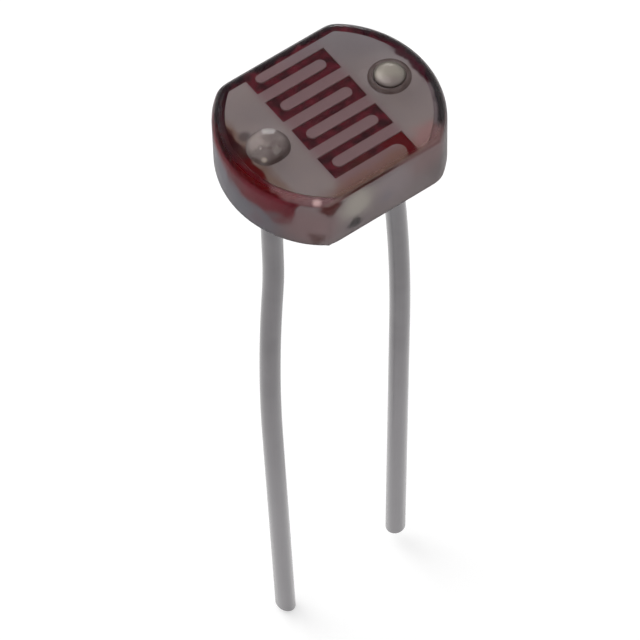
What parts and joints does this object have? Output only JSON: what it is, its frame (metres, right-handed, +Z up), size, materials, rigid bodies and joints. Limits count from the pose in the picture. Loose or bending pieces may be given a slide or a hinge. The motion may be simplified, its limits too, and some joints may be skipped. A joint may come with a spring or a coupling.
{
  "type": "photoresistor",
  "caption": "Round-ended photoresistor with two flats: a red meander track between comb electrodes under clear resin, on two wire leads.",
  "frame": {"origin": "centre of the ceramic chip's underside, on the seating plane midway between the two leads", "axes": "+Z up, out of the light-sensitive face; +X along the line through the two leads; +Y across the flats"},
  "size_m": [0.0052, 0.0042, 0.0189],
  "materials": {
    "alumina": "matte",
    "cadmium_sulphide": "matte",
    "electrode_metal": "satin",
    "conductive_paste": "satin",
    "tinned_wire": "satin",
    "clear_epoxy": "gloss"
  },
  "bodies": {
    "root": {"ceramic_substrate": "alumina", "photoconductor_layer": "cadmium_sulphide", "electrode_left": "electrode_metal", "electrode_right": "electrode_metal", "bond_left": "conductive_paste", "bond_right": "conductive_paste", "lead_left": "tinned_wire", "lead_right": "tinned_wire", "resin_coat": "clear_epoxy"}
  },
  "joints": []
}
